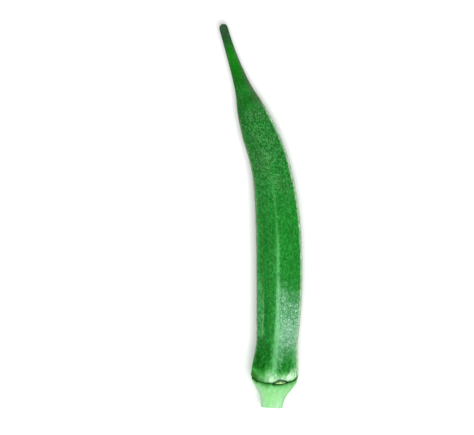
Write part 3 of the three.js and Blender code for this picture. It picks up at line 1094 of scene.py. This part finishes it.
def withCutEnd(tree, at, colour):
    fill = attributeNode(tree, "cutFill")
    onCut = rangeNode(tree, fill, *scarLook["cutEdge"], 1, 0)
    inPith = rangeNode(tree, fill, *scarLook["pithEdge"], 1, 0)
    cut = colourMix(tree, inPith, paint(*scarLook["rind"]), paint(*scarLook["pith"]))
    fibres = dots(tree, at, scarLook["fibreSize"], scarLook["fibreShift"])
    fibres = product(tree, fibres, scarLook["fibreStrength"])
    cut = colourMix(tree, fibres, cut, paint(*scarLook["fibre"]))
    return colourMix(tree, onCut, colour, cut)


def velvetFinish(tree, at, shader):
    rough = grain(tree, at, *velvet["roughnessNoise"])
    tree.links.new(rangeNode(tree, rough, 0, 1, *velvet["roughness"]), shader.inputs["Roughness"])
    shader.inputs["Specular IOR Level"].default_value = velvet["specular"]
    shader.inputs["Sheen Weight"].default_value = velvet["sheen"]
    shader.inputs["Sheen Roughness"].default_value = velvet["sheenRoughness"]
    shader.inputs["Sheen Tint"].default_value = paint(*velvet["sheenTint"])
    fibres = product(tree, grain(tree, at, *velvet["bumpFibres"]), velvet["bumpFibreShare"])
    height = mathNode(tree, "ADD", grain(tree, at, *velvet["bumpGrain"]), fibres)
    bump = tree.nodes.new("ShaderNodeBump")
    bump.inputs["Strength"].default_value = velvet["bumpStrength"]
    bump.inputs["Distance"].default_value = velvet["bumpDepth"]
    tree.links.new(height, bump.inputs["Height"])
    tree.links.new(bump.outputs[0], shader.inputs["Normal"])


def velvetSkin():
    material, tree, shader = newMaterial("okraVelvetSkin")
    at = placesOnPod(tree)
    bands = {name: band(tree, at, *reach) for name, reach in skinLook["bands"].items()}
    colour = colourRun(tree, at)
    colour = withPatches(tree, at, colour)
    colour = withRim(tree, at, colour)
    colour = withClouds(tree, at, colour, bands)
    colour, bloomAndHighlight = withBloomAndHighlight(tree, at, colour)

    # the fine points of the down, densest near the neck, and those in the bloom and its painted
    # highlight
    more = product(tree, bands["upper"], skinLook["downMoreAbove"])
    dense = product(tree, mathNode(tree, "ADD", more, skinLook["downLeast"]), bands["downy"])
    thick = mathNode(tree, "POWER", bloomAndHighlight, skinLook["bloomAndHighlightPower"])
    colour = withPoints(tree, at, colour, dense, skinLook["downPoints"])
    colour = withPoints(tree, at, colour, thick, skinLook["bloomAndHighlightPoints"])

    colour = withRidgeLines(tree, at, colour)
    colour = withScarColours(tree, at, colour)
    colour = withCutEnd(tree, at, colour)
    tree.links.new(colour, shader.inputs["Base Color"])
    velvetFinish(tree, at, shader)
    return material


podSkin.data.materials.append(velvetSkin())
patchCount = len(skinLook["patches"]) + len(skinLook["rim"]) + len(skinLook["bloomAndHighlight"])
print("skin coloured with", patchCount, "patches and", len(skinLook["ridgeLines"]), "lines")


# bristles on the ridges and down on the skin, in millimetres
hairs = {
    "ridge": {
        "count": 15000,
        "seed": 11,
        "length": (0.28, 0.5),
        "width": 0.045,
        "lean": 0.55,
        "spread": 0.55,
        "colour": (176, 190, 168),
        "bend": {"at": 0.5, "width": 0.6, "over": 0.14, "rise": 0.46},  # by its length
        "perRidge": [0.7, 0.8, 0.08, 1.2, 0.7],
        "fromRidge": 0.42,
        "onNeck": 0.09,
        "shorterOnNeck": 0.25,
        "shorterFrom": (100, 130),
    },
    "down": {
        "count": 42000,
        "seed": 12,
        "length": (0.16, 0.34),
        "width": 0.034,
        "lean": 0.8,
        "spread": 0.5,
        "colour": (16, 114, 26),
        "bend": None,
        "onCap": 0.04,
    },
    "bodyFrom": (15, 22),
    "neckFrom": (112, 126),
    "leastRise": 0.35,  # how far every hair stands off the skin at least, by its length
    "spare": 1.1,  # a hair this much longer still has to clear the floor
    "tipClear": 0.2,
    "rootClear": 0.25,
    "sunk": 0.03,
}


def hairModel(name, width, bend):
    # one hair a unit long on a three-cornered foot, narrowing to a point, with or without a bend
    clearSelection()
    height = bend["at"] if bend else 1
    bpy.ops.mesh.primitive_cone_add(
        vertices=3, radius1=width, radius2=width * bend["width"] if bend else 0, depth=height,
        location=(0, 0, height / 2),
    )
    model = bpy.context.object
    model.name = name
    bpy.ops.object.transform_apply(location=True, rotation=True, scale=True)
    if bend:
        bpy.ops.object.mode_set(mode="EDIT")
        bpy.ops.mesh.select_all(action="DESELECT")
        work = bmesh.from_edit_mesh(model.data)
        for face in work.faces:
            if all(vertex.co.z > height - 0.01 for vertex in face.verts):
                face.select_set(True)
        work.select_flush_mode()
        bmesh.update_edit_mesh(model.data)
        bpy.ops.mesh.extrude_region_move(
            TRANSFORM_OT_translate={"value": (bend["over"], 0, bend["rise"])}
        )
        bpy.ops.mesh.merge(type="CENTER")
        bpy.ops.object.mode_set(mode="OBJECT")
    points = readPoints(model.data).copy()
    faces = [tuple(face.vertices) for face in model.data.polygons]
    bpy.data.objects.remove(model)
    return points, faces


def skinTriangles(mesh):
    # in a steady order, because the hairs are drawn from them by number
    mesh.calc_loop_triangles()
    triangles = np.empty(len(mesh.loop_triangles) * 3, dtype=int)
    mesh.loop_triangles.foreach_get("vertices", triangles)
    normals = np.empty(len(mesh.vertices) * 3)
    mesh.vertices.foreach_get("normal", normals)
    triangles = np.unique(np.sort(triangles.reshape(-1, 3), axis=1), axis=0)
    return triangles, readPoints(mesh), normals.reshape(-1, 3)


def unitLong(vectors):
    return vectors / np.linalg.norm(vectors, axis=1)[:, None]


def scatteredHairs(name, kind, chance, lengthShare):
    # lays copies of one hair on the skin, leaning towards the beak
    setup = hairs[kind]
    count = setup["count"]
    random = np.random.default_rng(setup["seed"])
    triangles, points, normals = skinTriangles(podSkin.data)
    corners = points[triangles]
    edges = corners[:, 1:] - corners[:, :1]
    areas = np.linalg.norm(np.cross(edges[:, 0], edges[:, 1]), axis=1)
    weights = areas * chance[triangles].mean(axis=1)
    picks = random.choice(len(triangles), size=count, p=weights / weights.sum())
    first = np.sqrt(random.random(count))
    second = random.random(count)
    shares = np.stack([1 - first, first * (1 - second), first * second], axis=1)
    chosen = triangles[picks]
    roots = (points[chosen] * shares[:, :, None]).sum(axis=1)
    outward = unitLong((normals[chosen] * shares[:, :, None]).sum(axis=1))
    lengths = random.uniform(*setup["length"], count) * millimetre
    lengths *= (lengthShare[chosen] * shares).sum(axis=1)

    # the hair's own three directions
    wild = random.normal(0, setup["spread"], (count, 3))
    ahead = outward + np.array([0, setup["lean"], 0]) + wild
    rise = (ahead * outward).sum(axis=1)
    ahead = unitLong(ahead - outward * np.minimum(rise - hairs["leastRise"], 0)[:, None])
    acrossWay = unitLong(np.cross(ahead, random.normal(0, 1, (count, 3))))
    thirdWay = np.cross(ahead, acrossWay)

    # hairs that would reach the floor are left out
    tops = roots + ahead * lengths[:, None] * hairs["spare"]
    kept = tops[:, 2] > hairs["tipClear"] * millimetre
    kept &= roots[:, 2] > hairs["rootClear"] * millimetre
    sunk = roots - outward * (hairs["sunk"] * millimetre)
    width = setup["width"] / np.mean(setup["length"])
    shape, faces = hairModel(name + "_model", width, setup["bend"])
    placed = sunk[kept, None, :]
    for axis, way in enumerate((acrossWay, thirdWay, ahead)):
        placed = placed + shape[None, :, axis, None] * (way * lengths[:, None])[kept, None, :]
    total = int(kept.sum())
    allFaces = [
        tuple(corner + copy * len(shape) for corner in face)
        for copy in range(total) for face in faces
    ]
    fur = bpy.data.meshes.new(name)
    fur.from_pydata(placed.reshape(-1, 3).tolist(), [], allFaces)
    piece = bpy.data.objects.new(name, fur)
    bpy.context.collection.objects.link(piece)
    fur.materials.append(hairMaterial(name, setup["colour"]))
    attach(piece, "root")
    print(name + ":", total, "hairs,", len(fur.polygons), "faces")


# how a hair shines
hairFinish = {"grainScale": 400, "roughness": (0.55, 0.8), "specular": 0.25}


def hairMaterial(name, colour):
    material, tree, shader = newMaterial(name + "Fibre")
    shader.inputs["Base Color"].default_value = paint(*colour)
    place = tree.nodes.new("ShaderNodeTexCoord")
    cloud = tree.nodes.new("ShaderNodeTexNoise")
    cloud.inputs["Scale"].default_value = hairFinish["grainScale"]
    tree.links.new(place.outputs["Object"], cloud.inputs["Vector"])
    cut = (speckleCut["grainFrom"], speckleCut["grainTo"])
    rough = rangeNode(tree, cloud.outputs["Fac"], *cut, *hairFinish["roughness"])
    tree.links.new(rough, shader.inputs["Roughness"])
    shader.inputs["Specular IOR Level"].default_value = hairFinish["specular"]
    return material


def readValue(name):
    layer = podSkin.data.attributes[name]
    values = np.empty(len(layer.data), dtype=np.float32)
    layer.data.foreach_get("value", values)
    return values.astype(float)


alongPod = readValue("alongPod")
toRidge = readValue("toRidge")
nearestRidge = readValue("nearestRidge").round().astype(int)
onBody = smoothStep(*hairs["bodyFrom"], alongPod)
onNeck = smoothStep(*hairs["neckFrom"], alongPod)

bristles = hairs["ridge"]
ridgeChance = np.array(bristles["perRidge"])[nearestRidge] * hump(toRidge, bristles["fromRidge"])
ridgeChance = ridgeChance * onBody * (1 - onNeck) + bristles["onNeck"] * onNeck
ridgeLength = 1 - bristles["shorterOnNeck"] * smoothStep(*bristles["shorterFrom"], alongPod)
scatteredHairs("ridge_bristles", "ridge", ridgeChance, ridgeLength)

onCap = hairs["down"]["onCap"]
scatteredHairs("skin_down", "down", onCap + (1 - onCap) * onBody, np.ones_like(alongPod))


# floor, light and camera
studio = {
    "floorSize": 3.0,
    "floorColour": (244, 244, 244),
    "floorRoughness": 0.9,
    "floorSpecular": 0.1,
    "skyStrength": 0.42,
    "keyPlace": (0.05, 0.0, 0.72),
    "keySize": 0.4,
    "keyPower": 5.2,
    "lens": 135,
    "sensor": 36,
    "distance": 0.6603,
    "tilt": 12,
    "aim": (-0.00895, 0.0016, 0.007),
}


def paleFloor():
    clearSelection()
    bpy.ops.mesh.primitive_plane_add(size=studio["floorSize"], location=(0, 0, 0))
    floor = bpy.context.object
    floor.name = "studio_floor"
    material, _, shader = newMaterial("palePaper")
    shader.inputs["Base Color"].default_value = paint(*studio["floorColour"])
    shader.inputs["Roughness"].default_value = studio["floorRoughness"]
    shader.inputs["Specular IOR Level"].default_value = studio["floorSpecular"]
    floor.data.materials.append(material)


def softLight():
    world = bpy.data.worlds.new("softSky")
    bpy.context.scene.world = world
    world.use_nodes = True
    background = world.node_tree.nodes["Background"]
    background.inputs["Color"].default_value = (1, 1, 1, 1)
    background.inputs["Strength"].default_value = studio["skyStrength"]
    bpy.ops.object.light_add(type="AREA", location=studio["keyPlace"])
    key = bpy.context.object
    key.name = "key_light"
    key.data.size = studio["keySize"]
    key.data.energy = studio["keyPower"]
    key.rotation_euler = (-Vector(studio["keyPlace"])).to_track_quat("-Z", "Y").to_euler()


def mainCamera():
    tilt = math.radians(studio["tilt"])
    back = Vector((0, math.sin(tilt), math.cos(tilt)))
    bpy.ops.object.camera_add(
        location=Vector(studio["aim"]) + back * studio["distance"], rotation=(-tilt, 0, 0),
    )
    camera = bpy.context.object
    camera.name = "main_camera"
    camera.data.lens = studio["lens"]
    camera.data.sensor_width = studio["sensor"]
    bpy.context.scene.camera = camera


paleFloor()
softLight()
mainCamera()
bpy.context.scene.view_settings.view_transform = "Standard"
print("studio ready")
